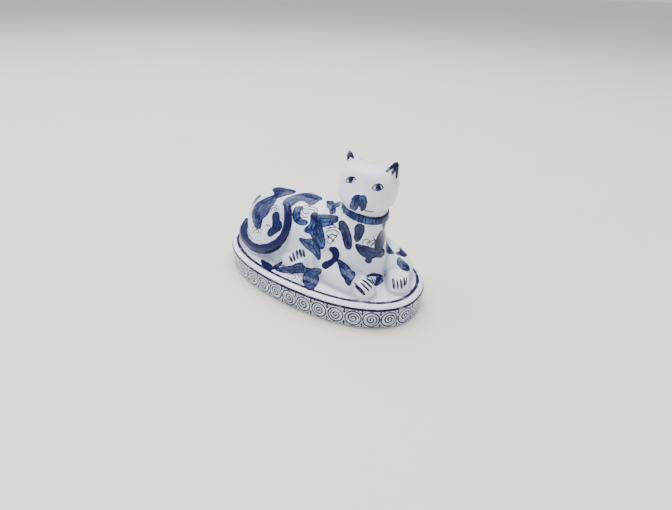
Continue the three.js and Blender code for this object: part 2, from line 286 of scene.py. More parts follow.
# Scroll band round the plinth: spirals in roundels with a drooping leaf between each two,
# a line below and a line above. Along and Up are in millimetres
def fillScrollBand(given):
    pitch, gap, height = given["Pitch"], given["Spacing"], given["Up"]
    cell = (given["Along"] - given["Start"]) / pitch
    x = (maths("FRACT", cell) - 0.5) * pitch
    y = height - given["Middle"]
    jitter = addNode(cell.tree, "ShaderNodeTexWhiteNoise", dict(noise_dimensions="1D"),
                     W=maths("FLOOR", cell))
    odd = Value(cell.tree, jitter.outputs["Value"])
    size = given["Radius"] * ramp(odd, 0.0, 1.0, 0.94, 1.03)
    squashed = y / 1.1
    far = maths("SQRT", x * x + squashed * squashed)
    turn = maths("ARCTAN2", squashed, x) / (2 * math.pi) + odd
    fromCoil = abs(maths("FRACT", far / gap + turn) - 0.5) * gap
    half = given["Brush"] * 0.5
    spiral = least(half - fromCoil, size - 1.5 - far)
    line = most(spiral, half - abs(far - size))
    # between two roundels a small leaf hangs from the upper line and one stands on the lower
    edge = pitch * 0.5 - abs(x)
    outside = far - (size + 1.0)
    limit = given["Band"] * 0.5 - abs(y)
    leaf = least(outside, 0.7 - edge, abs(y) - 4.2, limit - 0.3)
    vein = least(0.35 - abs(outside - 0.7), 3.6 - edge)
    line = least(most(line, vein), limit)
    for level, width in ((given["Bottom Line"], 1.7), (given["Rim Line"], 2.2)):
        line = most(line, width / 2 - abs(height - level))
    return {"Line": line, "Leaf": leaf, "Tint": least(limit, size - far)}


scrollBand = nodeGroup("scrollBand", {
    "Along": ("float", 0.0), "Up": ("float", 0.0), "Pitch": ("float", 14.6), "Radius": ("float", 6.6),
    "Middle": ("float", 11.0), "Band": ("float", 16.0), "Spacing": ("float", 2.35), "Brush": ("float", 1.35),
    "Bottom Line": ("float", 2.4), "Rim Line": ("float", 19.0), "Start": ("float", 2.8),
}, {"Line": "float", "Leaf": "float", "Tint": "float"}, fillScrollBand)


def attribute(tree, name):
    return Value(tree, addNode(tree, "ShaderNodeAttribute", dict(attribute_name=name)).outputs["Fac"])


def newMaterial(name):
    material = bpy.data.materials.new(name)
    material.use_nodes = True
    tree = material.node_tree
    where = Value(tree, tree.nodes.new("ShaderNodeTexCoord").outputs["Object"])
    return material, tree, tree.nodes["Principled BSDF"], where


glazeShine = {"IOR": 1.5, "Specular IOR Level": 0.26, "Coat Weight": 0.05, "Coat Roughness": 0.06}
glazeBumps = dict(Strength=0.35, Distance=0.0006)


# Painted and glazed porcelain. `band` adds the plinth's scroll band and bare foot
def glazedMaterial(name, band=None):
    material, tree, shader, where = newMaterial(name)
    # white ground, bluer and darker in the creases: pooled glaze with painted shade
    ground = useGroup(tree, porcelain, Vector=where, Pooling=attribute(tree, "poolingAndShade"))["Color"]
    line, wash = attribute(tree, "brushLine"), attribute(tree, "brushWash")
    tone = attribute(tree, "brushTone")
    if band:
        uv = addNode(tree, "ShaderNodeUVMap", dict(uv_map="plinthWrap")).outputs[0]
        parts = addNode(tree, "ShaderNodeSeparateXYZ", Vector=Value(tree, uv)).outputs
        along, height = (Value(tree, parts[axis]) * 1000.0 for axis in "XY")
        scroll = useGroup(tree, scrollBand, Along=along, Up=height, **band)
        line = most(line, scroll["Line"])
        wash = most(wash, scroll["Leaf"])
        ground = blend(ramp(scroll["Tint"], -0.3, 0.6) * 0.3, ground, colour(128, 150, 192))
    paint = useGroup(tree, brushwork, Vector=where, Line=line, Wash=wash, Tone=tone, Ground=ground)
    skin = useGroup(tree, glazeSkin, Vector=where, Pigment=paint["Pigment"])
    finish, rough = paint["Color"], skin["Roughness"]
    if band:
        # the foot is wiped clean of glaze before firing
        grain = noise(where, 1500.0, 2.0, 0.7)
        biscuit = blend(grain, colour(206, 198, 186), colour(226, 220, 210))
        bare = ramp(height + grain * 0.5, 1.0, 1.5, 1.0, 0.0)
        finish = blend(bare, finish, biscuit)
        rough = rough + bare * 0.55
    feed(tree, finish, shader.inputs["Base Color"])
    feed(tree, rough, shader.inputs["Roughness"])
    for label, value in glazeShine.items():
        shader.inputs[label].default_value = value
    bump = addNode(tree, "ShaderNodeBump", Height=skin["Height"], **glazeBumps)
    feed(tree, Value(tree, bump.outputs[0]), shader.inputs["Normal"])
    return material


def floorMaterial():
    material, tree, shader, where = newMaterial("paleFloor")
    mottle = noise(where, 6.0, 4.0, 0.6)
    feed(tree, blend(mottle, colour(226, 222, 217), colour(233, 230, 226)), shader.inputs["Base Color"])
    shader.inputs["Roughness"].default_value = 0.6
    return material


span = 30.0
floorMesh = bpy.data.meshes.new("floor")
floorMesh.from_pydata([(-span, -span, 0), (span, -span, 0), (span, span, 0), (-span, span, 0)], [],
                      [(0, 1, 2, 3)])
floorMesh.materials.append(floorMaterial())
floor = addObject("floor", floorMesh)


# Sizes of the plinth in millimetres; `mouth` is the share of the recess its opening takes
plinthShape = dict(length=190, width=106, height=23, ovalPower=2.27, rim=5, footSetIn=1.2, footWidth=5,
                   recessTop=18, mouth=0.62, around=650, roundels=34)


# The cat's clay, in millimetres. A lump is an ellipsoid, squared off when power is over 2
def lump(centre, size, turn=0, lean=0, power=2):
    t, l = math.radians(turn), math.radians(lean)
    turned = np.array([[math.cos(t), -math.sin(t), 0], [math.sin(t), math.cos(t), 0], [0, 0, 1]])
    leaned = np.array([[1, 0, 0], [0, math.cos(l), -math.sin(l)], [0, math.sin(l), math.cos(l)]])
    return dict(centre=np.array(centre, float), size=np.array(size, float),
                axes=turned @ leaned, power=power)


def pawForm(centre, size, turn):
    return dict(soft=10, joint=5, lumps=[lump(centre, size, turn=turn, power=2.3)])


def earLumps(side):
    def point(out, y, down):
        return (41 + side * out, y, 124 - down)
    return [lump(point(12, 3, 16), (9, 5.5, 6)), lump(point(14.2, 3, 10.5), (7, 4, 5.2)),
            lump(point(17.2, 2.6, 5.5), (3.6, 2.5, 4)), lump(point(19.3, 2.2, 2.4), (1.2, 1.2, 2.4))]


# soft: how widely a form's own lumps run together; joint: how widely it runs into the rest
catForms = {
    "body": dict(soft=12, joint=5, lumps=[
        lump((-35, 0, 43), (43, 31, 36)), lump((4, 2, 42), (42, 28, 35.5)), lump((31, 1, 54), (22, 20, 25)),
        lump((38, 1, 42), (19, 22, 30)), lump((40, 0, 78), (17.5, 17, 16)),
        lump((-10, 0, 25), (68, 33, 12), power=2.4)]),
    "right_haunch": dict(soft=10, joint=6, lumps=[lump((-38, -16, 42), (28, 19.5, 28), turn=-3)]),
    "left_haunch": dict(soft=10, joint=6, lumps=[lump((-38, 16, 41), (28, 19.5, 27), turn=3)]),
    "right_foreleg": dict(soft=10, joint=7, lumps=[
        lump((22, -17, 36), (17, 12, 17)), lump((36, -25, 29), (22, 9.5, 10), turn=-8)]),
    "left_foreleg": dict(soft=10, joint=7, lumps=[
        lump((48, 20, 34), (18, 13, 15), turn=-10), lump((68, 14, 31), (14, 12, 11), turn=-50)]),
    "right_forepaw": pawForm((53.5, -25.5, 28.5), (12.5, 8.5, 8), -16),
    "left_forepaw": pawForm((75.5, -2, 28.5), (12.5, 8.5, 8), -60),
    "right_hind_paw": pawForm((-8, -28.5, 29.5), (14, 8.5, 8.5), -6),
    "left_hind_paw": pawForm((-8, 28.5, 29.5), (14, 8.5, 8.5), 6),
    "head": dict(soft=8, joint=2.5, lumps=[
        lump((41, 0, 101), (21.5, 17.5, 17.5), lean=-12, power=3), lump((41, -9, 95), (13, 11.5, 9))]),
    "left_ear": dict(soft=4, joint=4, lumps=earLumps(-1)),
    "right_ear": dict(soft=4, joint=4, lumps=earLumps(1)),
}
collarShape = dict(top=(40, 0, 86), tilt=11, height=6, relief=1.3, edge=1.2, joint=1.0)
tailShape = dict(thick=5.5, joint=1.6, path=[
    (-84.5, -5, 33, 0.55), (-80, -15, 30.5, 0.72), (-72, -22, 29, 0.86), (-62, -27, 28.8, 0.95),
    (-50.5, -31, 30, 1.0), (-39, -33.2, 33.5, 0.98), (-30, -33.4, 38.3, 0.9), (-24, -31.8, 43.6, 0.8),
    (-20, -29.4, 49.5, 0.71), (-18, -27.2, 55.5, 0.65), (-18, -24.8, 61.3, 0.62),
    (-19.8, -22, 66.6, 0.59), (-22.4, -19.2, 70.6, 0.54), (-24.2, -17.8, 72.6, 0.48)])
plinthTop = plinthShape["height"]
sunk = 0.15       # the clay's foot runs this far under the plinth's top
footSoft = 8.0    # width of the fillet between the cat and the plinth


# how far a point is inside the plinth's outline, seen from above
def insetOf(points):
    half = np.array([plinthShape["length"], plinthShape["width"]]) / 2
    power = plinthShape["ovalPower"]
    q = np.abs(points[:, :2]) / half
    reach = np.maximum((q ** power).sum(1) ** (1 / power), 1e-3)
    steep = np.sqrt(((q ** (power - 1) / half) ** 2).sum(1)) / reach ** (power - 1)
    return (1 - reach) / np.maximum(steep, 1e-4)


# distance to the plinth's top and rounded rim, sunk a little
def plinthDistance(points):
    rim = plinthShape["rim"]
    inward = np.maximum(rim - insetOf(points), 0)
    rise = np.maximum(points[:, 2] - (plinthTop - sunk) + rim, 0)
    return np.sqrt(inward ** 2 + rise ** 2) - rim


def lumpDistance(one, points):
    q = np.abs((points - one["centre"]) @ one["axes"]) / one["size"]
    power = one["power"]
    if power == 2:
        reach = np.sqrt((q * q).sum(1))
        slope = np.sqrt(((q / one["size"]) ** 2).sum(1)) / np.maximum(reach, 1e-6)
    else:
        steep = q ** (power - 1)
        reach = (steep * q).sum(1) ** (1 / power)
        slope = np.sqrt(((steep / one["size"]) ** 2).sum(1)) / np.maximum(reach, 1e-6) ** (power - 1)
    return (reach - 1) / np.maximum(slope, 1e-6)


# two forms run together over a width of `soft`
def press(first, second, soft):
    overlap = np.maximum(soft - np.abs(first - second), 0) / soft
    return np.minimum(first, second) - overlap * overlap * soft / 4


# a curve through all the points
def smoothPath(points, perSpan, closed=False):
    points = np.asarray(points, float)
    count = len(points)
    result = []
    for i in range(count if closed else count - 1):
        if closed:
            a, b, c, d = [points[(i + k) % count] for k in (-1, 0, 1, 2)]
        else:
            a, b, c, d = [points[min(max(i + k, 0), count - 1)] for k in (-1, 0, 1, 2)]
        for t in np.arange(perSpan) / perSpan:
            result.append(0.5 * (2 * b + (c - a) * t + (2 * a - 5 * b + 4 * c - d) * t ** 2
                                 + (3 * b - a - 3 * c + d) * t ** 3))
    if not closed:
        result.append(points[-1])
    return np.array(result)


tailLine = smoothPath(tailShape["path"], 4)


# distance to a chain of segments; `wide` gives the radius at each point of the chain
def chainDistance(points, chain, wide):
    best = np.full(len(points), 1e3)
    for a, b, ra, rb in zip(chain[:-1], chain[1:], wide[:-1], wide[1:]):
        along = b - a
        t = np.clip((points - a) @ along / max(along @ along, 1e-9), 0, 1)
        away = np.sqrt(((points - a - t[:, None] * along) ** 2).sum(1))
        best = np.minimum(best, away - ra - (rb - ra) * t)
    return best


def tailDistance(points):
    low, high = tailLine[:, :3].min(0) - 14, tailLine[:, :3].max(0) + 14
    near = ((points > low) & (points < high)).all(1)
    result = np.full(len(points), 10.0)
    result[near] = chainDistance(points[near], tailLine[:, :3], tailLine[:, 3] * tailShape["thick"])
    return result


def collarHeight(points):
    tilt = math.radians(collarShape["tilt"])
    return (points - collarShape["top"]) @ np.array([math.sin(tilt), 0, math.cos(tilt)])


# distance to each form, and to them all pressed together and set on the plinth
def clay(points):
    apart = {}
    for name, form in catForms.items():
        for one in form["lumps"]:
            far = lumpDistance(one, points)
            apart[name] = press(apart[name], far, form["soft"]) if name in apart else far
    height = collarShape["height"]
    band = np.abs(collarHeight(points) + height / 2) - height / 2
    apart["collar"] = -press(-(apart["body"] - collarShape["relief"]), -band, collarShape["edge"])
    apart["tail"] = tailDistance(points)
    joints = {name: form["joint"] for name, form in catForms.items()}
    joints.update(collar=collarShape["joint"], tail=tailShape["joint"])
    whole = None
    for name, far in apart.items():
        whole = far if whole is None else press(whole, far, joints[name])
    whole = press(whole, plinthDistance(points), footSoft)
    return whole, apart


def slope(points, here):
    step = 0.02
    return np.stack([(clay(points + step * axis)[0] - here) / step for axis in np.eye(3)], 1)


# move points onto the clay's surface
def settle(points, rounds=2):
    for _ in range(rounds):
        here = clay(points)[0]
        steep = slope(points, here)
        push = np.clip(here / np.maximum((steep ** 2).sum(1), 0.3), -0.5, 0.5)
        points = points - steep * push[:, None]
    return points


def evaluatedMesh(thing):
    return bpy.data.meshes.new_from_object(thing.evaluated_get(bpy.context.evaluated_depsgraph_get()))


def meshArrays(mesh):
    points = np.empty(len(mesh.vertices) * 3)
    mesh.vertices.foreach_get("co", points)
    corners = np.empty(len(mesh.loops), int)
    mesh.loops.foreach_get("vertex_index", corners)
    return points.reshape(-1, 3), corners


clayBox = np.array([(-94.0, -48.0, 20.5), (98.0, 48.0, 127.0)])
block = 8            # the grid is first looked at in blocks this many cells wide
farAway = 4.0        # stands for the distance in blocks that the skin doesn't cross


# the clay's skin as even quads, found on a grid and then halved once
def skinClay(step):
    low, high = clayBox
    blocks = np.ceil((high - low) / step / block).astype(int)
    starts = np.stack(np.meshgrid(*[np.arange(n) for n in blocks], indexing="ij"), -1).reshape(-1, 3)
    middles = low + (starts + 0.5) * block * step
    rough = clay(middles)[0]
    values = np.where(rough > 0, farAway, -farAway).reshape(blocks)
    values = np.kron(values, np.ones((block, block, block))).astype(np.float32)
    inner = np.stack(np.meshgrid(*[np.arange(block)] * 3, indexing="ij"), -1).reshape(-1, 3)
    near = starts[np.abs(rough) < block * step * 1.25]
    cells = (near[:, None, :] * block + inner[None]).reshape(-1, 3)
    for some in np.array_split(cells, 24):
        values[some[:, 0], some[:, 1], some[:, 2]] = clay(low + some * step)[0]
    grid = openvdb.FloatGrid(farAway)
    grid.copyFromArray(values)
    points, quads = grid.convertToQuads(isovalue=0.0)[:2]
    points = settle(np.asarray(points, float) * step + low)
    mesh = bpy.data.meshes.new("roughClay")
    mesh.from_pydata(points.tolist(), [], np.asarray(quads).tolist())
    holder = addObject("roughClay", mesh)
    halved = holder.modifiers.new("halved", "SUBSURF")
    halved.levels = halved.render_levels = 1
    fine = evaluatedMesh(holder)
    points, corners = meshArrays(fine)
    bpy.data.objects.remove(holder)
    return settle(points), corners.reshape(-1, 4)


print("clay")
clayStep = 0.97
clayPoints, clayQuads = skinClay(clayStep)
# what the plinth hides is dropped
clayQuads = clayQuads[plinthDistance(clayPoints[clayQuads].mean(1)) > 0.01]
wholeField, apartFields = clay(clayPoints)
clayNormals = slope(clayPoints, wholeField)
clayNormals /= np.linalg.norm(clayNormals, axis=1)[:, None]
corners = clayPoints[clayQuads]
facing = np.cross(corners[:, 2] - corners[:, 0], corners[:, 3] - corners[:, 1])
if (facing * clayNormals[clayQuads[:, 0]]).sum() < 0:
    clayQuads = clayQuads[:, ::-1]
# glaze pools and painted shade darkens as deep as the forms are filled out where they meet
closest = np.min([*apartFields.values(), plinthDistance(clayPoints)], 0)
poolingAndShade = np.maximum(closest - wholeField, 0)
print("clay skin:", len(clayQuads), "quads")


# Brushwork: marks are drawn on a flat in millimetres, right and up, and laid on the clay
brushPressure = 1.45     # how much wider than drawn every line comes out
brushSpread = 0.6        # how far every filled area runs past its drawing, mm
nearLook = (31.3, 34.0, 2.1)    # azimuth, elevation and roll the near side was painted from
motifDepth = 16          # how far before and behind its middle a motif reaches, mm
edgeOn = 0.08            # paint misses skin that faces away more than this


def stroke(points, width, closed=False):
    path = smoothPath(points, 5, closed)
    if closed:
        path = np.vstack([path, path[:1]])
    return dict(kind="line", path=path, width=width, taper=0.0 if closed else 0.35)


def patch(points, tone=0.5, outline=0.55):
    return dict(kind="wash", path=smoothPath(points, 4, True), tone=tone, outline=outline)


def circle(centre, radius, count):
    turns = np.linspace(0, 2 * math.pi, count, endpoint=False)
    return np.array([(centre[0] + radius * math.cos(a), centre[1] + radius * math.sin(a)) for a in turns])


def spot(centre, radius, tone=0.8):
    return dict(kind="wash", path=circle(centre, radius, 14), tone=tone, outline=0.3)


def ring(centre, radius, width):
    return stroke(circle(centre, radius, 24), width, closed=True)


def insidePolygon(points, path):
    inside = np.zeros(len(points), bool)
    for (x0, y0), (x1, y1) in zip(path, np.roll(path, -1, 0)):
        if y0 == y1:
            continue
        crosses = (y0 > points[:, 1]) != (y1 > points[:, 1])
        inside ^= crosses & (points[:, 0] < (x1 - x0) * (points[:, 1] - y0) / (y1 - y0) + x0)
    return inside


# lay one mark on the flat positions of some points; a coat is millimetres inside a mark
def layMark(mark, flat, coats, where):
    path = mark["path"]
    if mark["kind"] == "line":
        thin = 1 - mark["taper"] * np.abs(np.linspace(-1, 1, len(path))) ** 3
        depth = -chainDistance(flat, path, mark["width"] * brushPressure / 2 * thin)
        coats["line"][where] = np.maximum(coats["line"][where], depth)
        return
    loop = np.vstack([path, path[:1]])
    away = chainDistance(flat, loop, np.zeros(len(loop)))
    depth = np.where(insidePolygon(flat, path), away, -away) + brushSpread
    covered = depth > -0.5
    tones = coats["tone"][where]
    tones[covered & (depth > coats["wash"][where] - 0.2)] = mark["tone"]
    coats["tone"][where] = tones
    coats["wash"][where] = np.maximum(coats["wash"][where], depth)
    outline = mark["outline"] * brushPressure / 2 - np.abs(depth + 0.1)
    coats["line"][where] = np.maximum(coats["line"][where], outline)


# lay a motif's marks on the points near it that face where it is painted from
def layMotif(motif, points, normals, coats):
    across, upward, outward = outlook(*motif.get("look", nearLook))
    marks = motif["marks"]
    size = motif.get("size", 1.0)
    flip = -1 if motif.get("mirrored") else 1
    spin = math.radians(motif.get("spin", 0))
    extent = max(np.abs(mark["path"]).max() for mark in marks) * 1.45 * abs(size) + 2
    offset = points - np.array(motif["at"], float)
    x, y, z = offset @ across, offset @ upward, offset @ outward
    where = np.flatnonzero((np.hypot(x, y) < extent) & (np.abs(z) < motif.get("depth", motifDepth))
                           & (normals @ outward > edgeOn))
    if not len(where):
        print("  nothing under", motif["name"])
        return
    x, y = x[where] * flip / size, y[where] / size
    flat = np.stack([x * math.cos(spin) + y * math.sin(spin), y * math.cos(spin) - x * math.sin(spin)], 1)
    for mark in marks:
        layMark(mark, flat, coats, where)


# Marks, each drawn round its own middle
haunchWing = [
    patch([(15.6, 12.1), (9.2, 10.9), (2.1, 8.4), (-4.3, 4.8), (-6.9, 0), (-6.4, -5.7), (-4.4, -11.4),
           (-2.1, -14.9), (0.9, -15.2), (2.3, -12.1), (3.4, -7.8), (6.4, -5.7), (8.5, -2.8), (10.4, 1.4),
           (13.5, 6.2)], tone=0.5),
    stroke([(12, 9.5), (6, 7), (0, 3), (-3, -3), (-3.5, -9)], 0.6),
    stroke([(12.5, 8), (8, 4), (3.5, -1), (0.5, -7), (-0.6, -13)], 0.6),
    stroke([(9.6, 2.5), (6, -1.5), (2.5, -6.5)], 0.5),
    stroke([(0.9, -15.2), (2.4, -17.6), (3.6, -16.8)], 0.6),
]
haunchBoot = [
    patch([(-1.7, 8.3), (1.4, 8.3), (2.3, 2.8), (4.2, -0.7), (3.2, -4.8), (0, -6.9), (-3.9, -9.3),
           (-6.4, -10.1), (-7.1, -7.6), (-5.5, -5.5), (-3.0, -3.5), (-2.3, 0.7), (-2.6, 5.5)], tone=0.72),
    stroke([(-9.6, -2), (-6.3, -0.8), (-5.2, -4.2), (-7.6, -4.6)], 0.5),
    stroke([(-9, -0.4), (-7.2, -2.6)], 0.45),
]
ridgeLeaf = [
    patch([(-7.3, 3.0), (-2.8, 3.9), (3.6, 2.3), (9.2, 0.9), (12, -0.7), (8.5, -2.3), (2.8, -3.9),
           (-1.4, -5.2), (-4.5, -3.6), (-5.2, -0.7)], tone=0.72),
    stroke([(-5, 1.4), (1, 0), (8, -0.9)], 0.5),
]
backWing = [
    patch([(-12.6, -3.2), (-10.4, 0.8), (-5.6, 3.6), (1.4, 5.8), (8.4, 6.6), (14, 4.9), (18.9, 1.5),
           (16.1, -0.4), (11.9, -3.8), (7.7, -2), (2.8, 0.5), (-1.4, -0.8), (-4.2, -3.0),
           (-7.7, -5.2)], tone=0.42),
    stroke([(-9.5, -1.5), (-3, 1.2), (4, 2.8), (11, 2.4), (16.5, 1.4)], 0.65),
    stroke([(4, 4.8), (8.5, 3.4), (12.5, 4)], 0.6),
    stroke([(-6, -3), (-1.5, 0.4), (3.5, 1.5)], 0.5),
    stroke([(8, -1), (12, 0.2), (16, 0.6)], 0.5),
]
backCrescent = [
    patch([(-1.4, 8.5), (-3.6, 4.8), (-4.0, 0), (-2.3, -4.3), (2.1, -7.5), (7.7, -8.0), (9.3, -5.5),
           (4.8, -3.9), (2.3, -1.2), (1.8, 2.7), (3.4, 6.2), (4.3, 8.4)], tone=0.3),
    stroke([(0.8, 7), (-1, 3), (-1, -1), (1.2, -4.6), (5.6, -6.2)], 0.5),
    stroke([(6, 9.4), (8.6, 10.4), (11.4, 10.8), (12, 8.8), (9.8, 8.6)], 0.45),
    stroke([(7, 7), (9.8, 6.2), (12.6, 7.2)], 0.4),
]
shoulderButterfly = [
    patch([(1.6, 7.0), (5.4, 7.4), (9.5, 7.2), (13, 6.6), (16.6, 5.7), (17.3, 2.7), (13.8, 1.2),
           (10.8, -0.3), (5.4, -0.9), (2, 1.2)], tone=0.18),
    patch([(-2.7, 5.6), (-4.1, 0.6), (-7.6, -2.5), (-8.5, -4.9), (-4.3, -6.3), (-2.2, -9.7), (1.6, -15.1),
           (5.2, -18.6), (7.2, -15.1), (6.5, -9.7), (5.2, -4.1), (4.3, -0.7), (2, 1.4)], tone=0.25),
    spot((-0.9, 6.9), 2.9, 0.85),
    stroke([(2.4, 5.3), (8, 4.9), (15.6, 4.9)], 0.6), stroke([(2.4, 2.9), (8, 1.8), (14.5, 2.8)], 0.55),
    stroke([(0, 3.6), (0.6, -4), (4.8, -14.8)], 0.65), stroke([(1.6, 0), (4, -6), (6, -13)], 0.5),
    stroke([(-1.8, 2), (-4.2, -2.8), (-6.8, -4.6)], 0.5), stroke([(-0.6, -1), (-1.4, -6), (1.6, -11)], 0.5),
]
curls = [
    stroke([(-5.4, 3), (-2, 4.6), (2.4, 4.2), (4.2, 1.8), (2, 0.2), (-0.8, 1.4), (-2.6, 0.2)], 0.6),
    stroke([(-4.6, -0.6), (-1.4, -1.6), (-0.2, -4.4), (-2.6, -6), (-4.6, -4.6), (-3.2, -3)], 0.6),
    stroke([(-5, 5.4), (-1, 6.6), (3.4, 6.2), (5.4, 4)], 0.55),
    stroke([(3.6, -0.6), (1, -2), (0.8, -4.6)], 0.5),
    stroke([(-4.8, 1.2), (-3, -1), (-5.2, -2.6)], 0.55), stroke([(-6.4, 7.2), (-3, 8.6), (1.2, 8.4)], 0.5),
]
tendrils = [
    stroke([(-4.2, -2.4), (-2.2, 0.4), (0.6, 0.9), (2.2, -0.8), (0.9, -2.2), (-0.6, -1.3)], 0.6),
    stroke([(-3.4, 2.6), (-0.6, 3.4), (2.6, 2.4), (4.4, 0)], 0.55),
    stroke([(-5.2, 0.6), (-4.4, 3), (-2.2, 4.8)], 0.5), stroke([(3.4, -3.2), (4.6, -1.6)], 0.5),
]
sprig = [
    patch([(-4.1, 4.1), (-1.4, 5.4), (0.7, 3.4), (5, 4.1), (4.5, 1.1), (1.4, 0), (0.7, -4.3), (-2, -4.8),
           (-2.7, -1.4), (-4.8, 1.4)], tone=0.38),
    stroke([(0.3, 2.4), (-0.4, -1), (-0.8, -5.6), (0.4, -8.4)], 0.5),
    stroke([(-3.4, 2.8), (-0.4, 1), (3.4, 2.8)], 0.45),
    spot((-4.4, 4.9), 0.9, 0.6), spot((5.4, 4.6), 0.8, 0.6),
]
longLeaf = [
    patch([(-4.3, 10.3), (-1.9, 9.9), (0.6, 6.7), (2.8, 1.3), (4.1, -3.9), (3.7, -9.2), (1.9, -10.3),
           (0, -7.9), (-1.5, -2.6), (-2.8, 2.6), (-4.5, 6.5)], tone=0.6),
    stroke([(-3.2, 8.8), (-0.6, 3), (1.4, -3), (2.6, -9)], 0.7),
    stroke([(-2.6, 5), (-0.8, 6)], 0.5), stroke([(-1.6, 1.6), (0.8, 2.6)], 0.5),
    stroke([(-0.6, -1.8), (2, -0.9)], 0.5), stroke([(0.4, -5.2), (3, -4.4)], 0.5),
]
chinLeaf = [
    patch([(-1.5, 5.5), (2, 5.3), (2.7, 2.5), (2.2, 0), (0.6, -3.8), (-1.8, -6), (-3.2, -3.8), (-2.9, 0),
           (-3.1, 3.2)], tone=0.62),
    stroke([(0.4, 4.6), (-0.4, 0), (-1.6, -4.6)], 0.6),
    stroke([(0, 2), (1.9, 2.6)], 0.45), stroke([(-0.6, -1.2), (1.3, -0.6)], 0.45),
]
flankLeaf = [
    patch([(-9, 7.7), (-4.1, 6.9), (0.2, 7.1), (2.9, 4.8), (6.4, 1.4), (7.2, -4.1), (7.0, -8.6), (4.8, -6.4),
           (2.1, -3.6), (-1.4, -0.9), (-4.8, 2.1), (-7.1, 4.8)], tone=0.14),
    stroke([(-7.4, 6.8), (-2, 4), (2.4, 0.8), (5.8, -5.8)], 0.65),
    stroke([(-1.4, 6), (-0.6, 3.2)], 0.5), stroke([(2.4, 4.2), (2.2, 1.2)], 0.5),
]
boomerang = [
    patch([(-3.5, 7.2), (0.7, 7.2), (2.9, 4), (2.3, 0), (-0.4, -3.5), (-4.4, -6.8), (-7.3, -8.3),
           (-9.4, -6.4), (-7.5, -4), (-3.3, -2.4), (-0.9, 0), (-0.9, 3.3)], tone=0.85),
    stroke([(-0.8, 5.6), (0.8, 2.6), (-0.8, -1.6), (-6.4, -6)], 0.5),
]
trailingLeaf = [
    patch([(-7, 8.7), (-3.3, 6.8), (0.2, 4.1), (3.3, 0.3), (5.8, -1.3), (4.8, -4.6), (2.8, -7.2),
           (1.7, -10.1), (0, -8.7), (-1.5, -5.2), (-3.5, -2.6), (-4.8, 1.3), (-5.8, 5.2)], tone=0.5),
    stroke([(-6.2, 8), (-2.4, 2.6), (0.6, -2.6), (1.5, -9)], 0.6),
    stroke([(-1.8, 1.6), (2, -0.6)], 0.45), stroke([(-0.2, -1.6), (2.8, -3.2)], 0.45),
]
chestButterfly = [
    patch([(-11.9, 4.8), (-8.5, 4.1), (-3.3, 2.8), (2, 1.5), (7.2, 2.2), (10.6, 0.9), (11, -2), (8.5, -4.1),
           (3.3, -4.1), (-0.5, -5.9), (-0.2, -7.8), (-2, -8.7), (-4.1, -7.2), (-3.7, -4.8), (-7.2, -2.8),
           (-10, 0), (-11.5, 2.6)], tone=0.62),
    patch([(5.2, 11.1), (7.8, 15.2), (10.1, 14.5), (10.6, 9.8), (9.7, 4.6), (8, 1.5), (5.2, 1.5),
           (3.3, 3.1), (3.9, 7.2)], tone=0.45),
    stroke([(-10, 3.4), (-4, 0.4), (3, -1.4), (9.6, -0.8)], 0.65),
    stroke([(-8.8, 1), (-4, -1.6), (-2.4, -6.4)], 0.5),
    stroke([(5.6, 3.2), (6.6, 8), (8.8, 13.4)], 0.55), stroke([(7.4, 2.6), (8.8, 7)], 0.45),
    stroke([(-6.5, 4.4), (-7.2, 7.6), (-4.6, 9.1), (-2, 8), (-1.3, 4.8)], 0.45),
    stroke([(-0.9, 4.4), (1.7, 5.9), (2.5, 8.7), (0.9, 11.1), (3.4, 12.6)], 0.45),
    stroke([(-4.8, 6.2), (-2.6, 6.6)], 0.4), spot((-2.2, -7.3), 1.4, 0.9),
]
footButterfly = [
    patch([(-25.2, 0.4), (-19.3, 1.6), (-12.4, 2.6), (-7.3, 4.4), (-3.3, 5.4), (-1.9, 3.0), (0, 1.4),
           (0, -1.6), (-4.1, -1.8), (-9.7, -2.2), (-16.6, -2.2), (-22.4, -1)], tone=0.3),
    patch([(-0.9, 1.4), (4.1, 0.5), (8.6, 0.8), (12.8, 0.2), (11.9, -2.5), (9.8, -3.6), (10.6, -6.9),
           (9.9, -10.4), (6.9, -14), (4.1, -14.9), (1.2, -12.6), (-1.3, -9), (-1.5, -5.5),
           (-0.4, -2.8)], tone=0.5),
    stroke([(-23, 0.2), (-15, -0.4), (-8, 0.6), (-1, 0)], 0.6), stroke([(-12, 1.8), (-6, 2.6), (-1, 1)], 0.5),
    stroke([(1, -0.6), (3.6, -6), (4.4, -13)], 0.6), stroke([(2.6, -0.8), (6.4, -5.6), (7.4, -11)], 0.5),
    stroke([(4, -0.6), (8.4, -1.2), (11, -0.8)], 0.5), stroke([(0.2, -2), (0.8, -7), (2, -11)], 0.45),
    stroke([(-13.8, -4.2), (-10.4, -3.8), (-8, -6), (-10.4, -7.4), (-12, -6)], 0.45),
    stroke([(-7.2, -3.6), (-5, -5.4), (-2.6, -4.4)], 0.45),
    stroke([(-8.2, -8.6), (-4.8, -6.8), (-3.2, -9.2), (-5.2, -10.4)], 0.45),
    stroke([(-16.4, -4.8), (-14, -6.8), (-15.4, -8.2)], 0.4), stroke([(-4.4, -12), (-2, -10.4)], 0.4),
]
footLeaf = [
    patch([(-9, 4.4), (-5.6, 2.9), (-2.4, 1.4), (0.2, -0.6), (1.6, -3), (-1.6, -3), (-4.6, -1.6), (-7, 0.8)],
          tone=0.8, outline=0.4),
    patch([(0.6, -2.8), (4.2, -2.2), (7.4, 0), (9.8, 2.8), (6.6, 1.2), (3.4, -0.4)], tone=0.8, outline=0.4),
]
hindClaws = [
    stroke([(-5.1, -0.3), (-3.4, -3.4)], 1.1), stroke([(-3.2, 1.7), (-1.8, -2.5)], 1.15),
    stroke([(-1, 3), (0, -1.6)], 1.15), stroke([(1, 3.6), (2, -0.9)], 1.15),
    stroke([(3, 3.6), (3.8, -0.3)], 1.1),
]
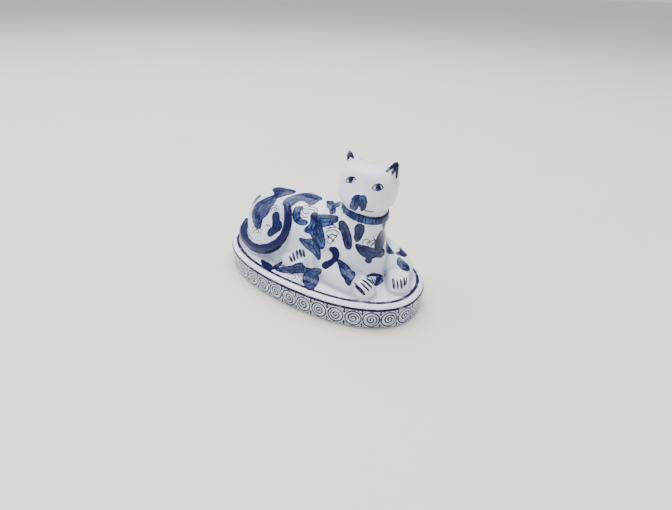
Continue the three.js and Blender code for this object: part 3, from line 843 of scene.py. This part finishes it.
foreClaws = [
    stroke([(-4.8, 0.8), (-1.6, -2.4), (1.5, -5.5)], 1.9),
    stroke([(-1.3, 3.2), (1.6, 0.8), (4.8, -2.5)], 1.2),
    stroke([(1.5, 4.8), (4.2, 2.6), (7.4, -0.8)], 1.2), stroke([(3.6, 6.4), (6.2, 4.6), (8.9, 2)], 1.1),
    stroke([(-6.6, 3.6), (-3.2, 0.6), (0.6, -2.6)], 0.7), stroke([(-0.4, 6), (2.8, 3.2)], 0.7),
    stroke([(0.2, 2.4), (3.4, -0.6)], 0.5), stroke([(3, 4.2), (5.8, 1.6)], 0.5),
]
farClaws = [
    stroke([(-4.9, 3.5), (-4.2, -4.1)], 1.3), stroke([(-2.1, 2.6), (-1.3, -4.1)], 1.0),
    stroke([(0.8, 3.1), (1.6, -3.8)], 1.4), stroke([(3.8, 4.4), (3.5, -2)], 1.1),
    stroke([(6.2, 4.7), (4.8, -1)], 0.9),
]
pawWing = [
    patch([(-8.2, 2.7), (-5.8, 3.7), (-2.5, 4.3), (1.1, 3.9), (4.2, 2.9), (5.6, 1.9), (3.3, 2.3), (-0.4, 3.1),
           (-4, 3.1)], tone=0.85, outline=0.3),
    patch([(1, 0.4), (3.4, 0.8), (5.4, 0.2), (5.9, -1.2), (4.3, -2.7), (2.3, -4.1), (-0.2, -5), (-0.9, -4.1),
           (0.4, -2.6), (0.6, -0.9)], tone=0.85, outline=0.3),
    stroke([(-5.8, 0.9), (-4.9, -1.4), (-3.4, -3.9)], 0.6),
    stroke([(-3.9, 1.4), (-3, -1), (-1.9, -3.2)], 0.6),
    stroke([(-2, 1.2), (-1.4, -0.4), (-0.7, -2)], 0.5), stroke([(-0.4, 1.6), (1.4, 1.5)], 0.5),
]
kneeLeaf = [
    patch([(-4, 6.3), (-1.4, 4.3), (2.4, 0.9), (4, -2), (2, -2.9), (-1.4, -2.2), (-3.6, 0), (-4.9, 2.7)],
          tone=0.4),
    stroke([(-3.4, 4.4), (0, 0.6), (3.4, -2), (5.6, -5.3)], 0.7),
]
kneeBud = [patch([(-4.8, -0.3), (-1.4, 0.8), (-0.7, 3.8), (2.1, 2.4), (3.7, -1), (1.4, -2.5), (-1.4, -1.6)],
                 tone=1.0)]
sideBud = [patch([(-1, 1.8), (0.6, 2), (1.1, -0.4), (0.2, -2), (-0.9, -0.8)], tone=0.9, outline=0.3)]
eye = [
    spot((0.3, 0.1), 1.0, 0.3), ring((0.3, 0.1), 0.5, 0.7),
    stroke([(-3.3, -0.7), (-1.6, -1.7), (1.0, -1.9), (3.2, -0.7)], 0.5),
    stroke([(-3.6, -0.6), (-2.2, 1.2), (0.3, 2.0), (2.6, 1.2), (3.6, -0.5)], 0.75),
]
nose = [
    patch([(-4.2, 3.2), (-1.2, 4), (1.2, 3.2), (3.6, 3.1), (4.6, -0.6), (3.9, -4.4), (1.8, -5.3),
           (0.6, -1.8), (-0.6, -0.6), (-1.8, -4.2), (-4.8, -5), (-5.9, -2.4), (-4.9, 0.6)],
          tone=0.1, outline=0.4),
    stroke([(-2.6, 2.4), (-3.2, -0.6), (-4, -3.6)], 0.55), stroke([(1.4, 2), (2.6, -1), (3, -4)], 0.55),
    stroke([(-1, 3.2), (0, 0.4)], 0.5),
]
mouth = [stroke([(-3.6, 2), (-1.2, -0.2), (2.4, -1), (4.8, -0.6)], 0.55)]
rightEarMark = [
    stroke([(0.2, -0.6), (-0.6, -3), (-1.7, -5.8)], 2.1), stroke([(0.2, -0.6), (1.2, -3), (2.5, -5.6)], 1.6),
    stroke([(0, -1), (0.2, -4.4)], 1.4),
]
leftEarMark = [
    stroke([(0, -0.6), (-3, -2.6), (-7, -6)], 1.8), stroke([(0, -0.6), (0.2, -5), (0.2, -10)], 1.4),
    stroke([(-0.6, -1.6), (-1.6, -4.4), (-3, -7.6)], 1.6), spot((-0.9, -2.4), 1.5, 0.9),
]

# Where they are laid: name, point on the clay, marks and how they are set
nearSide = [
    ("haunchWing", (-48, -26, 65), haunchWing, dict(depth=26)),
    ("haunchBoot", (-27, -29, 60), haunchBoot, {}),
    ("ridgeLeaf", (-38, -8, 78), ridgeLeaf, dict(depth=22)),
    ("backWing", (-18.5, -9, 75.5), backWing, dict(depth=30)),
    ("backCrescent", (-12.5, -19, 67), backCrescent, dict(size=0.86)),
    ("shoulderButterfly", (5, -18, 64), shoulderButterfly, dict(depth=24)),
    ("curls", (23, -20, 61), curls, {}),
    ("sprig", (11, -1, 74), sprig, dict(depth=20)),
    ("haunchTendrils", (-47, -31, 47), tendrils, {}),
    ("rumpTendrils", (-33, -24, 70), tendrils, dict(spin=20, size=0.9)),
    ("saddleTendrils", (-2, -12, 72), tendrils, dict(spin=-15, depth=20)),
    ("saddleCurls", (-9, -14, 70), tendrils, dict(spin=130, depth=20)),
    ("neckTendrils", (20, -14, 70), tendrils, dict(spin=80, depth=20)),
    ("throatTendrils", (57, -14, 63), tendrils, dict(spin=30, size=0.9)),
    ("footTendrils", (-14, -38, 24), tendrils, dict(size=0.9, depth=20)),
    ("longLeaf", (34, -19, 65), longLeaf, {}),
    ("chinLeaf", (45, -17, 70), chinLeaf, {}),
    ("flankLeaf", (6, -26, 46), flankLeaf, dict(depth=20)),
    ("boomerang", (29, -26, 46), boomerang, dict(depth=20)),
    ("trailingLeaf", (42, -28, 39), trailingLeaf, dict(depth=20)),
    ("chestButterfly", (54, -12, 54), chestButterfly, dict(depth=22)),
    ("sideBud", (57, 0, 72), sideBud, {}),
    ("footButterfly", (6, -34, 29), footButterfly, dict(depth=24)),
    ("footLeaf", (-27, -39, 23), footLeaf, {}),
    ("hindClaws", (-3, -32, 38.5), hindClaws, dict(size=1.4)),
    ("foreClaws", (60, -34, 35), foreClaws, {}),
    ("pawWing", (59, -9, 27), pawWing, {}),
    ("farClaws", (81, -12, 34), farClaws, {}),
    ("kneeLeaf", (76, 6, 38), kneeLeaf, {}),
    ("kneeBud", (69, 16, 43), kneeBud, {}),
    ("rightEye", (34, -16, 110), eye, dict(depth=12)),
    ("leftEye", (55, -14, 109), eye, dict(size=1.08, depth=12)),
    ("nose", (45, -21, 98), nose, dict(depth=12)),
    ("mouth", (51, -19, 92), mouth, dict(depth=12)),
    ("rightEarMark", (21.7, 2.2, 123.5), rightEarMark, dict(depth=9)),
    ("leftEarMark", (60.3, 2.2, 123.5), leftEarMark, dict(depth=9)),
]
# the far side carries the same patterns in another order, each painted from its own
# azimuth and elevation
farSide = [
    ("farWing", (-46, 26, 62), haunchWing, 205, 34, dict(mirrored=True, depth=26)),
    ("farBoot", (-24, 30, 56), haunchBoot, 190, 30, dict(mirrored=True)),
    ("farRidgeLeaf", (-52, 12, 74), ridgeLeaf, 200, 50, dict(spin=150)),
    ("farCrescent", (-14, 20, 66), backCrescent, 180, 40, dict(mirrored=True)),
    ("farButterfly", (12, 22, 56), shoulderButterfly, 175, 30, dict(mirrored=True, depth=24)),
    ("farCurls", (28, 17, 64), curls, 165, 25, dict(mirrored=True)),
    ("farLongLeaf", (39, 17, 66), longLeaf, 170, 15, dict(mirrored=True)),
    ("farChinLeaf", (52, 12, 66), chinLeaf, 135, 10, dict(mirrored=True)),
    ("farFlankLeaf", (-2, 27, 44), flankLeaf, 180, 25, dict(spin=-25)),
    ("farClawsHind", (-3, 32, 38), hindClaws, 175, 40, dict(mirrored=True)),
    ("farBoomerang", (33, 27, 44), boomerang, 165, 35, dict(mirrored=True)),
    ("farTrailingLeaf", (52, 26, 41), trailingLeaf, 150, 40, dict(mirrored=True)),
    ("rumpLeaf", (-76, 6, 52), longLeaf, 262, 20, dict(spin=20)),
    ("farHaunchLeaf", (-46, 32, 44), flankLeaf, 195, 25, dict(spin=10, size=1.1)),
    ("farHaunchBud", (-28, 31, 42), trailingLeaf, 185, 25, dict(spin=35, size=0.9)),
    ("farHaunchTendrils", (-58, 25, 48), tendrils, 215, 25, {}),
    ("farBackTendrils", (-30, 20, 68), tendrils, 190, 40, dict(spin=40)),
    ("farFlankTendrils", (14, 26, 44), tendrils, 175, 25, dict(spin=-20)),
    ("rumpBud", (-66, 22, 58), kneeLeaf, 235, 25, dict(spin=60)),
    ("rumpFlank", (-64, -16, 66), kneeLeaf, 300, 40, dict(spin=-30)),
    ("napeSprig", (32, 13, 76), sprig, 200, 30, {}),
    ("farFootButterfly", (10, 36, 27), footButterfly, 178, 40, dict(mirrored=True, depth=24)),
    ("farFootLeaf", (-30, 40, 23), footLeaf, 180, 50, {}),
    ("frontLeaf", (58, 10, 52), longLeaf, 95, 15, dict(size=0.9, spin=-15)),
]
motifs = [dict(name=name, at=place, marks=marks, **extra) for name, place, marks, extra in nearSide]
for name, place, marks, azimuth, elevation, extra in farSide:
    motifs.append(dict(name=name, at=place, marks=marks, look=(azimuth, elevation, 0), **extra))


# the dark line round the plinth's top runs over the foot of the clay as well
topLine = dict(inset=6.1, width=2.7)


def layTopLine(points, coats):
    low = np.flatnonzero(np.abs(points[:, 2] - plinthTop) < 1.2)
    away = np.abs(insetOf(points[low]) - topLine["inset"])
    coats["line"][low] = np.maximum(coats["line"][low], topLine["width"] / 2 - away)


# what every coat is where nothing is painted
unpainted = dict(line=-5.0, wash=-5.0, tone=0.5)


def paintAll(points, normals):
    coats = {name: np.full(len(points), value) for name, value in unpainted.items()}
    for motif in motifs:
        layMotif(motif, points, normals, coats)
    layTopLine(points, coats)
    return coats


print("brushwork")
coats = paintAll(clayPoints, clayNormals)
# tail: solid cobalt, a little past its own edge
tailPaint = dict(past=0.35, edge=-0.6, tone=0.78)
tailCoat = tailPaint["past"] - apartFields["tail"]
onTail = tailCoat > np.maximum(coats["wash"], tailPaint["edge"])
coats["tone"][onTail] = tailPaint["tone"]
coats["wash"] = np.maximum(coats["wash"], tailCoat)
# collar: a dark line along each edge and short ticks over a pale wash; reaches are
# counted from the collar's middle
collarPaint = dict(edgeAt=2.5, edgeHalf=0.6, ticks=44, tickHalf=0.3, tickReach=1.9, washReach=2.6,
                   round=18)
onCollar = np.flatnonzero((apartFields["collar"] < 0.9) & (apartFields["head"] > 0.4))
fromMiddle = np.abs(collarHeight(clayPoints[onCollar]) + collarShape["height"] / 2)
turnRound = np.arctan2(clayPoints[onCollar, 1] - collarShape["top"][1],
                       clayPoints[onCollar, 0] - collarShape["top"][0])
tick = np.abs((turnRound * collarPaint["ticks"] / (2 * math.pi)) % 1 - 0.5)
tick = tick * 2 * math.pi * collarPaint["round"] / collarPaint["ticks"]
collarEdges = collarPaint["edgeHalf"] - np.abs(fromMiddle - collarPaint["edgeAt"])
collarTicks = np.minimum(collarPaint["tickHalf"] - tick, collarPaint["tickReach"] - fromMiddle)
coats["line"][onCollar] = np.maximum(collarEdges, collarTicks)
coats["wash"][onCollar] = collarPaint["washReach"] - fromMiddle
coats["tone"][onCollar] = 0.0


def addFloats(mesh, name, values):
    mesh.attributes.new(name, "FLOAT", "POINT").data.foreach_set("value", np.asarray(values, np.float32))


def storeCoats(mesh, coats, poolingAndShade):
    for name, label in (("line", "brushLine"), ("wash", "brushWash"), ("tone", "brushTone")):
        addFloats(mesh, label, coats[name])
    # crease depth for the pooled glaze tint and its painted shade
    addFloats(mesh, "poolingAndShade", poolingAndShade)


# The skin is parted into the modelled forms; each is closed inwards to its own core
print("parting the skin")
partNames = list(apartFields)
partOfPoint = np.argmin([apartFields[name] for name in partNames], 0)
votes = partOfPoint[clayQuads]
partOfQuad = np.array([np.bincount(four).argmax() for four in votes])
catGlaze = glazedMaterial("paintedPorcelain")
cores = {name: catForms[name]["lumps"][0]["centre"] for name in catForms}
cores.update(body=(0, 0, 44), head=(41, 0, 100), collar=(40, 0, 82.5), tail=(-38, -17, 40))
footClosing = dict(below=2.0, reach=6)


def makePart(name, quads):
    used, packed = np.unique(quads, return_inverse=True)
    packed = packed.reshape(-1, 4)
    count = len(used)
    starts, ends = packed.ravel(), np.roll(packed, -1, 1).ravel()
    codes, back = starts * (count + 1) + ends, ends * (count + 1) + starts
    rim = ~np.isin(back, codes)
    # the rim closes to the core, or below the plinth's top where it runs along the foot
    core = np.array(cores[name], float)
    foot = np.array([core[0], core[1], plinthTop - footClosing["below"]])
    low = clayPoints[used, 2] < plinthTop + footClosing["reach"]
    starts, ends = starts[rim], ends[rim]
    apexes = np.where(low[starts] & low[ends], count + 1, count)
    closing = [(b, a, apex) for a, b, apex in zip(starts.tolist(), ends.tolist(), apexes.tolist())]
    arriving = dict(zip(ends.tolist(), apexes.tolist()))
    for a, apex in zip(starts.tolist(), apexes.tolist()):
        before = arriving[a]
        if before != apex:
            closing.append((a, before, apex))
    points = np.vstack([clayPoints[used], core, foot]) * mm
    mesh = bpy.data.meshes.new(name + "Porcelain")
    mesh.from_pydata(points.tolist(), [], packed.tolist() + closing)
    mesh.polygons.foreach_set("use_smooth", np.ones(len(mesh.polygons), bool))
    normals = np.vstack([clayNormals[used], (0, 0, 1), (0, 0, -1)])
    mesh.normals_split_custom_set_from_vertices(normals.tolist())
    mine = {coat: np.append(values[used], [unpainted[coat]] * 2) for coat, values in coats.items()}
    storeCoats(mesh, mine, np.append(poolingAndShade[used], [0.0, 0.0]))
    mesh.materials.append(catGlaze)
    piece = addObject(name + "Porcelain", mesh)
    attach(piece, "root")
    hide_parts(name)
    print(" ", name, len(packed) * 2 + len(closing), "triangles")


for number, name in enumerate(partNames):
    makePart(name, clayQuads[partOfQuad == number])


# Plinth: a profile carried round an oval
print("plinth")


# [inset, shrink towards the middle, height] from the middle of the top, over the rim and
# down the wall, under the foot and up into the recess
def plinthProfile(shape):
    top, rim, recess = shape["height"], shape["rim"], shape["recessTop"]
    rows = [(7.0, shrink, top) for shrink in (*np.linspace(0.0, 0.3, 5), *np.linspace(0.33, 1.0, 80))]
    rows += [(inset, 1, top) for inset in np.linspace(6.6, rim + 0.2, 4)]
    for angle in np.radians(np.linspace(90, 0, 13)):
        rows.append((rim * (1 - math.cos(angle)), 1, top - rim * (1 - math.sin(angle))))
    rows += [(0, 1, height) for height in np.linspace(17.4, 3.8, 22)]
    step = shape["footSetIn"]
    rows += [(0.02, 1, 3.3), (0.25, 1, 2.85), (0.7, 1, 2.35), (step - 0.15, 1, 2.0), (step, 1, 1.6),
             (step, 1, 0.8), (step + 0.25, 1, 0.25), (step + 0.8, 1, 0)]
    inner = step + shape["footWidth"]
    rows += [(inner - 0.6, 1, 0), (inner - 0.15, 1, 0.2), (inner, 1, 0.7), (inner + 0.2, 1, 2),
             (7.3, 1, 4.5), (7.6, 1, 10), (7.7, 1, recess - 3), (8.6, 1, recess - 0.9), (10.5, 1, recess)]
    rows += [(10.5, shrink, recess) for shrink in (0.9, 0.8, 0.7, shape["mouth"] + 0.01)]
    rows += [(10.5, shape["mouth"], recess + 0.6), (10.5, shape["mouth"] - 0.01, 21.4),
             (10.5, 0.4, 21.6), (10.5, 0.0, 21.6)]
    return np.array(rows)


profile = plinthProfile(plinthShape)
# distance travelled up the profile, counted from the foot's outer edge
steps = np.hypot(np.diff(profile[:, 0]), np.diff(profile[:, 2])) + np.abs(np.diff(profile[:, 1])) * 46
travelled = np.concatenate([[0], np.cumsum(steps)])
footRow = int(np.argmin(np.abs(profile[:, 0] - 2.0) + np.abs(profile[:, 2]) + (profile[:, 1] < 1) * 99))
climb = travelled[footRow] - travelled


def climbAt(inset, height):
    outer = np.arange(footRow + 1)
    far = np.hypot(profile[outer, 0] - inset, profile[outer, 2] - height) + (profile[outer, 1] < 1) * 50
    return float(climb[outer[np.argmin(far)]])


profileMesh = bpy.data.meshes.new("plinthProfile")
profileMesh.from_pydata((profile * [mm, 1, mm]).tolist(), [(i, i + 1) for i in range(len(profile) - 1)], [])
addFloats(profileMesh, "climb", climb * mm)
profileObject = addObject("plinthProfile", profileMesh)


def sweepTree():
    tree = bpy.data.node_groups.new("ovalSweep", "GeometryNodeTree")
    sockets = {}
    for label, kind, value in (("Profile", "NodeSocketObject", None), ("Rows", "NodeSocketInt", 10),
                               ("Around", "NodeSocketInt", 100), ("Length", "NodeSocketFloat", 0.19),
                               ("Width", "NodeSocketFloat", 0.106), ("Oval Power", "NodeSocketFloat", 2.27),
                               ("Glaze", "NodeSocketMaterial", None)):
        socket = tree.interface.new_socket(label, in_out="INPUT", socket_type=kind)
        if value is not None:
            socket.default_value = value
        sockets[label] = socket.identifier
    tree.interface.new_socket("Geometry", in_out="OUTPUT", socket_type="NodeSocketGeometry")
    entry = tree.nodes.new("NodeGroupInput")
    given = {label: Value(tree, entry.outputs[label]) for label in sockets}

    def node(kind, settings=None, **values):
        return addNode(tree, kind, settings, **values).outputs

    def split(vector):
        return [Value(tree, socket) for socket in node("ShaderNodeSeparateXYZ", Vector=vector)]

    def join(x=0.0, y=0.0, z=0.0):
        return Value(tree, node("ShaderNodeCombineXYZ", X=x, Y=y, Z=z)[0])

    # the oval: a round curve with each coordinate raised to 2 / power
    roundCurve = node("GeometryNodeCurvePrimitiveCircle", Resolution=1440, Radius=1.0)
    here = node("GeometryNodeInputPosition")[0]
    power = 2.0 / given["Oval Power"]

    def eased(value, wide):
        return maths("SIGN", value) * maths("POWER", abs(value), power) * (wide / 2.0)

    x, y = split(here)[:2]
    oval = node("GeometryNodeSetPosition", Geometry=roundCurve["Curve"],
                Position=join(eased(x, given["Length"]), eased(y, given["Width"])))
    # a grid with one row for each profile point and one column more than goes round
    columns = given["Around"] + 1.0
    grid = node("GeometryNodeMeshGrid", Vertices_X=given["Rows"], Vertices_Y=columns)
    index = Value(tree, node("GeometryNodeInputIndex")[0])
    row = maths("FLOOR", (index + 0.5) / columns)
    share = (index - row * columns) / given["Around"]
    onOval = node("GeometryNodeSampleCurve", dict(mode="FACTOR", use_all_curves=True),
                  Curves=oval[0], Factor=share)
    headingX, headingY = split(onOval["Tangent"])[:2]
    outward = join(headingY, headingX * -1.0)
    section = node("GeometryNodeObjectInfo", dict(transform_space="ORIGINAL"), Object=given["Profile"])

    def alongProfile(field, kind):
        return node("GeometryNodeSampleIndex", dict(data_type=kind, domain="POINT"),
                    Geometry=section["Geometry"], Value=field, Index=row)[0]

    inset, shrink, height = split(alongProfile(here, "FLOAT_VECTOR"))
    climbed = node("GeometryNodeInputNamedAttribute", dict(data_type="FLOAT"), Name="climb")["Attribute"]
    climbHere = alongProfile(climbed, "FLOAT")
    inward = vectorMaths("SCALE", outward, scale=inset * -1.0)
    atInset = vectorMaths("ADD", Value(tree, onOval["Position"]), inward)
    flat = vectorMaths("SCALE", atInset, scale=shrink)
    placed = node("GeometryNodeSetPosition", Geometry=grid["Mesh"],
                  Position=vectorMaths("ADD", flat, join(z=height)))
    length = node("GeometryNodeCurveLength", Curve=oval[0])["Length"]
    onPoints = node("GeometryNodeFieldOnDomain", dict(data_type="FLOAT_VECTOR", domain="POINT"),
                    Value=join(share * Value(tree, length), climbHere))
    stored = node("GeometryNodeStoreNamedAttribute", dict(data_type="FLOAT2", domain="CORNER"),
                  Geometry=placed[0], Name="plinthWrap", Value=onPoints[0])
    closed = node("GeometryNodeMergeByDistance", Geometry=stored[0], Distance=0.000012)
    smooth = node("GeometryNodeSetShadeSmooth", Geometry=closed[0])
    realised = node("GeometryNodeRealizeInstances", Geometry=smooth[0])
    finished = node("GeometryNodeSetMaterial", Geometry=realised[0], Material=given["Glaze"])
    leave = tree.nodes.new("NodeGroupOutput")
    feed(tree, finished[0], leave.inputs[0])
    return tree, sockets


def ovalReach(share, wide):
    return np.sign(share) * np.abs(share) ** (2 / plinthShape["ovalPower"]) * wide / 2


ovalRound = np.radians(np.linspace(0, 360, 2881))
ovalPoints = np.stack([ovalReach(np.cos(ovalRound), plinthShape["length"]),
                       ovalReach(np.sin(ovalRound), plinthShape["width"])], 1)
girth = float(np.hypot(*np.diff(ovalPoints, axis=0).T).sum())
pitch = girth / plinthShape["roundels"]
bandLow, bandHigh = climbAt(1.2, 2.0), climbAt(0.4, 19.6)
plinthGlaze = glazedMaterial("scrollBandPorcelain", band={
    "Pitch": pitch, "Radius": pitch * 0.455, "Middle": (bandLow + bandHigh) / 2,
    "Band": bandHigh - bandLow, "Bottom Line": bandLow, "Rim Line": bandHigh})
tree, sockets = sweepTree()
holder = addObject("plinthSweep", bpy.data.meshes.new("plinthSweep"))
sweep = holder.modifiers.new("sweep", "NODES")
sweep.node_group = tree
for label, value in (("Profile", profileObject), ("Rows", len(profile)), ("Around", plinthShape["around"]),
                     ("Length", plinthShape["length"] * mm), ("Width", plinthShape["width"] * mm),
                     ("Oval Power", plinthShape["ovalPower"]), ("Glaze", plinthGlaze)):
    sweep[sockets[label]] = value
plinthMesh = evaluatedMesh(holder)
plinthMesh.name = "plinthPorcelain"
plinthMesh.materials.clear()
plinthMesh.materials.append(plinthGlaze)
plinthMesh.polygons.foreach_set("material_index", np.zeros(len(plinthMesh.polygons), int))
for spent in (holder, profileObject):
    bpy.data.objects.remove(spent)
volume = sum(np.dot(np.array(plinthMesh.vertices[p.vertices[0]].co), np.array(p.normal)) * p.area
             for p in list(plinthMesh.polygons)[::7])
print("  plinth", len(plinthMesh.polygons), "faces, girth", round(girth), "facing out", volume > 0)
if volume < 0:
    plinthMesh.flip_normals()
plinthPoints = meshArrays(plinthMesh)[0] / mm
plinthNormals = np.array([vertex.normal[:] for vertex in plinthMesh.vertices])
plinthCoats = paintAll(plinthPoints, plinthNormals)
plinthPooling = np.zeros(len(plinthPoints))
# the plinth's top gets pooled glaze and painted shade in the fillet round the cat's foot
topside = np.flatnonzero(plinthPoints[:, 2] > plinthTop - 0.01)
nearCat = np.min(list(clay(plinthPoints[topside])[1].values()), 0)
plinthPooling[topside] = np.maximum(footSoft - nearCat, 0) ** 2 / (4 * footSoft) * (nearCat > 0)
storeCoats(plinthMesh, plinthCoats, plinthPooling)
plinthPiece = addObject("plinthPorcelain", plinthMesh)
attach(plinthPiece, "root")
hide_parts("plinth")

print("done")
